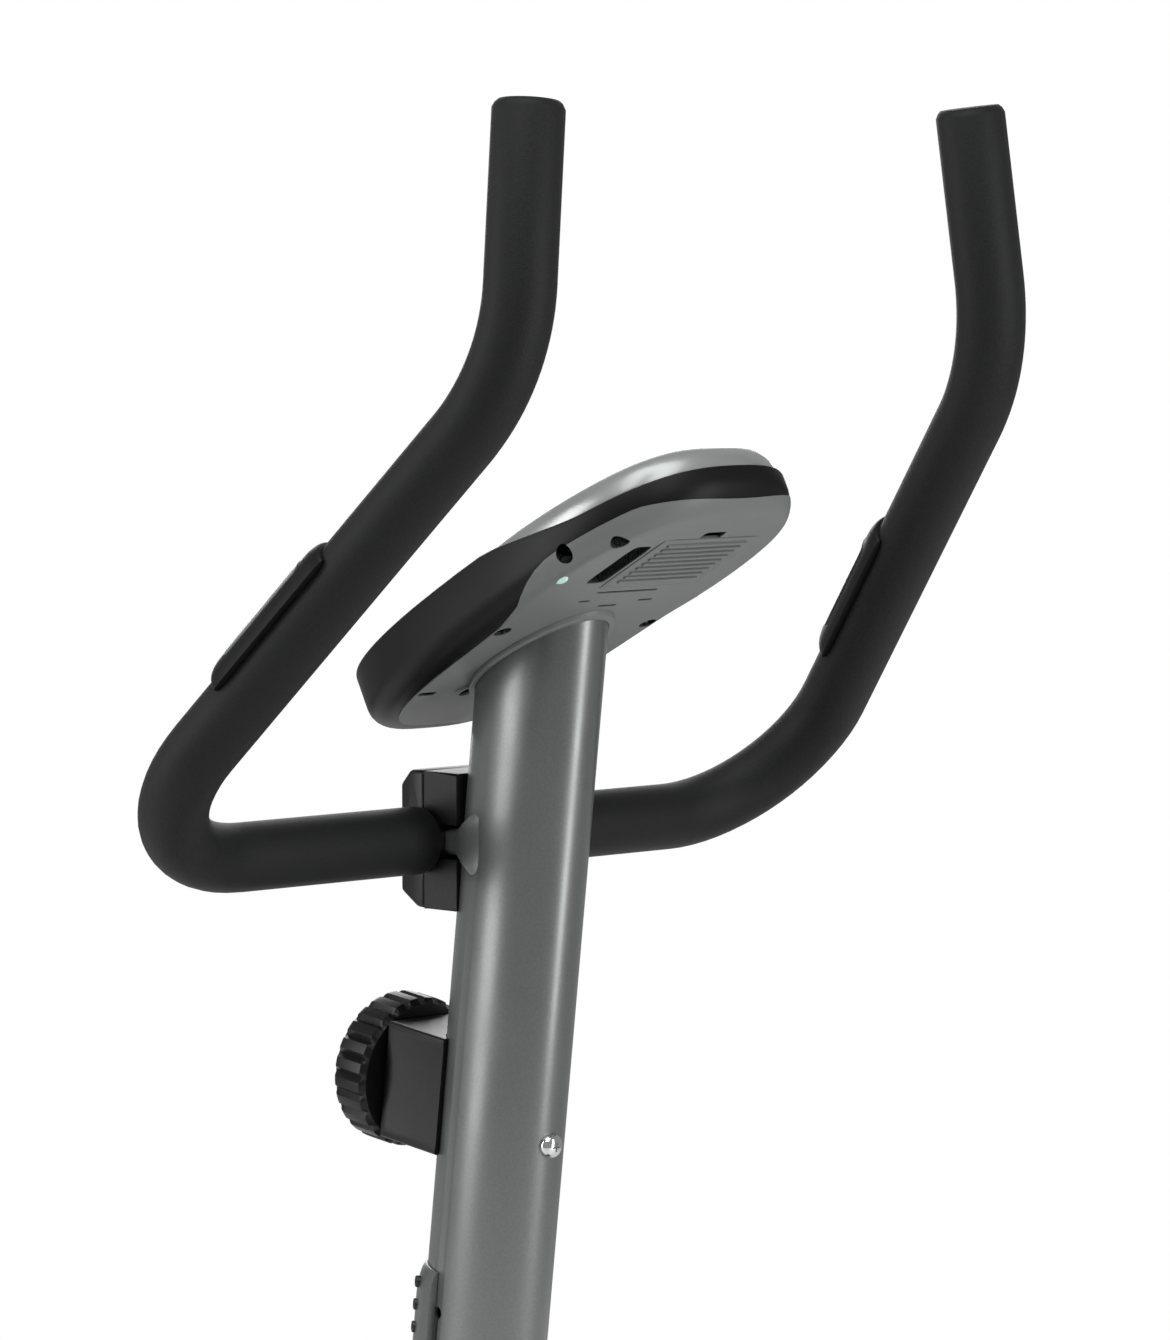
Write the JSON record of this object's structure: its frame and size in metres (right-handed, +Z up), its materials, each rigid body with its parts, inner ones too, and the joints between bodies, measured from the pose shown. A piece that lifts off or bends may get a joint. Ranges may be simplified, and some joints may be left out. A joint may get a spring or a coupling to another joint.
{
  "type": "upright exercise bike",
  "caption": "Upright magnetic exercise bike: foam-covered U handlebar with pulse grips, tilted console, tension knob, enclosed drive and height-adjustable saddle on a floor frame.",
  "frame": {"origin": "on the floor under the middle of the bike's box: X = 0 is the plane of the frame, midway between the front and rear foot caps", "axes": "+Z up; the rider faces -Y, so the console and handlebar are towards -Y and the saddle towards +Y; +X is the rider's left"},
  "size_m": [0.522, 0.918, 1.3095],
  "materials": {
    "frame_paint": "satin black powder coat",
    "mast_paint": "silver-grey metallic paint, semi-gloss",
    "black_plastic": "fine-grained moulding",
    "housing_plastic": "grained moulded cover",
    "silver_plastic": "silver painted moulding",
    "lens_plastic": "clear display window over a grey display",
    "grip_foam": "closed-cell foam",
    "saddle_vinyl": "grained black vinyl over foam",
    "strap_rubber": "soft moulded strap",
    "wheel_rubber": "solid roller",
    "belt_rubber": "ribbed drive belt",
    "cable_sheath": "smooth black sheath",
    "steel": "zinc-plated",
    "chrome": "bright chrome",
    "cast_iron": "turned rim"
  },
  "bodies": {
    "frame": {"base_beam": "frame_paint", "front_stabilizer": "frame_paint", "rear_stabilizer": "frame_paint", "front_cap_left": "black_plastic", "front_cap_right": "black_plastic", "rear_cap_left": "black_plastic", "rear_cap_right": "black_plastic", "mast_stub": "frame_paint", "seat_tube": "frame_paint", "crank_bracket": "frame_paint", "flywheel_bracket": "frame_paint", "bottom_bracket_cup_left": "steel", "bottom_bracket_cup_right": "steel", "drive_belt": "belt_rubber", "flywheel_axle": "steel", "tension_cable": "cable_sheath", "housing_left": "housing_plastic", "housing_right": "housing_plastic", "seat_post_bush": "black_plastic", "mast": "mast_paint", "mast_backing_plate": "mast_paint", "tension_knob_base": "black_plastic", "knob_base_screw": "chrome", "handlebar_clamp_base": "black_plastic", "handlebar_clamp_cap": "black_plastic", "clamp_bolt_upper": "steel", "clamp_bolt_lower": "steel", "console_back": "black_plastic", "console_front": "silver_plastic", "console_lens": "lens_plastic"},
    "flywheel": {"flywheel": "cast_iron", "flywheel_pulley": "steel"},
    "crank": {"crank_axle": "steel", "crank_arm_left": "frame_paint", "crank_arm_right": "frame_paint", "drive_pulley": "black_plastic", "pedal_spindle_left": "steel", "pedal_spindle_right": "steel"},
    "pedal_left": {"pedal_left": "black_plastic", "pedal_strap_left": "strap_rubber"},
    "pedal_right": {"pedal_right": "black_plastic", "pedal_strap_right": "strap_rubber"},
    "tension_knob": {"tension_knob": "black_plastic"},
    "brake": {"brake_bracket": "steel", "brake_magnets": "steel"},
    "seat_post": {"seat_post": "chrome", "saddle_clamp": "frame_paint"},
    "saddle": {"saddle": "saddle_vinyl", "saddle_pan": "frame_paint", "saddle_tilt_bolt": "steel"},
    "seat_pin": {"seat_pin_knob": "black_plastic"},
    "handlebar": {"handlebar": "frame_paint", "grip_left": "grip_foam", "grip_right": "grip_foam", "pulse_sensor_left": "black_plastic", "pulse_sensor_right": "black_plastic"},
    "console_button": {"console_button": "black_plastic"},
    "battery_door": {"battery_door": "black_plastic"},
    "transport_wheel_left": {"transport_wheel_left": "wheel_rubber"},
    "transport_wheel_right": {"transport_wheel_right": "wheel_rubber"}
  },
  "joints": [
    {"name": "flywheel_spin", "type": "hinge", "parent": "frame", "child": "flywheel", "pos_m": [0, -0.305, 0.255], "axis": [1, 0, 0], "continuous": true},
    {"name": "crank_spin", "type": "hinge", "parent": "frame", "child": "crank", "pos_m": [0, -0.01, 0.28], "axis": [1, 0, 0], "continuous": true},
    {"name": "left_pedal_spin", "type": "hinge", "parent": "crank", "child": "pedal_left", "pos_m": [0.137, -0.16, 0.28], "axis": [1, 0, 0], "continuous": true},
    {"name": "right_pedal_spin", "type": "hinge", "parent": "crank", "child": "pedal_right", "pos_m": [-0.137, 0.14, 0.28], "axis": [1, 0, 0], "continuous": true},
    {"name": "tension_knob_turn", "type": "hinge", "parent": "frame", "child": "tension_knob", "pos_m": [0, -0.24672, 0.8215], "axis": [0, 0.9925, 0.1219], "range_deg": [0, 300]},
    {"name": "brake_swing", "type": "hinge", "parent": "frame", "child": "brake", "pos_m": [0, -0.40979, 0.3155], "axis": [1, 0, 0], "range_deg": [-3, 0]},
    {"name": "seat_height", "type": "slide", "parent": "frame", "child": "seat_post", "axis": [0, 0.2419, 0.9703], "range_m": [-0.08, 0.08]},
    {"name": "saddle_tilt", "type": "hinge", "parent": "seat_post", "child": "saddle", "pos_m": [0, 0.31024, 0.75488], "axis": [1, 0, 0], "range_deg": [-10, 10]},
    {"name": "seat_pin_pull", "type": "slide", "parent": "frame", "child": "seat_pin", "axis": [0, 0.9703, -0.2419], "range_m": [0, 0.01], "stiffness_N_per_m": 600, "springref_m": -0.004},
    {"name": "handlebar_tilt", "type": "hinge", "parent": "frame", "child": "handlebar", "pos_m": [0, -0.2135, 0.95], "axis": [1, 0, 0], "range_deg": [-15, 15]},
    {"name": "button_press", "type": "slide", "parent": "frame", "child": "console_button", "axis": [0, -0.4726, -0.8813], "range_m": [0, 0.0015], "stiffness_N_per_m": 400, "springref_m": -0.001},
    {"name": "battery_door_off", "type": "slide", "parent": "frame", "child": "battery_door", "axis": [0, -0.4726, -0.8813], "range_m": [0, 0.015]},
    {"name": "left_wheel_spin", "type": "hinge", "parent": "frame", "child": "transport_wheel_left", "pos_m": [0.2495, -0.432, 0.033], "axis": [1, 0, 0], "continuous": true},
    {"name": "right_wheel_spin", "type": "hinge", "parent": "frame", "child": "transport_wheel_right", "pos_m": [-0.2495, -0.432, 0.033], "axis": [1, 0, 0], "continuous": true}
  ],
  "couplings": [
    {"joint": "crank_spin", "follows": "flywheel_spin", "ratio": 0.13889},
    {"joint": "brake_swing", "follows": "tension_knob_turn", "ratio": -0.01}
  ]
}
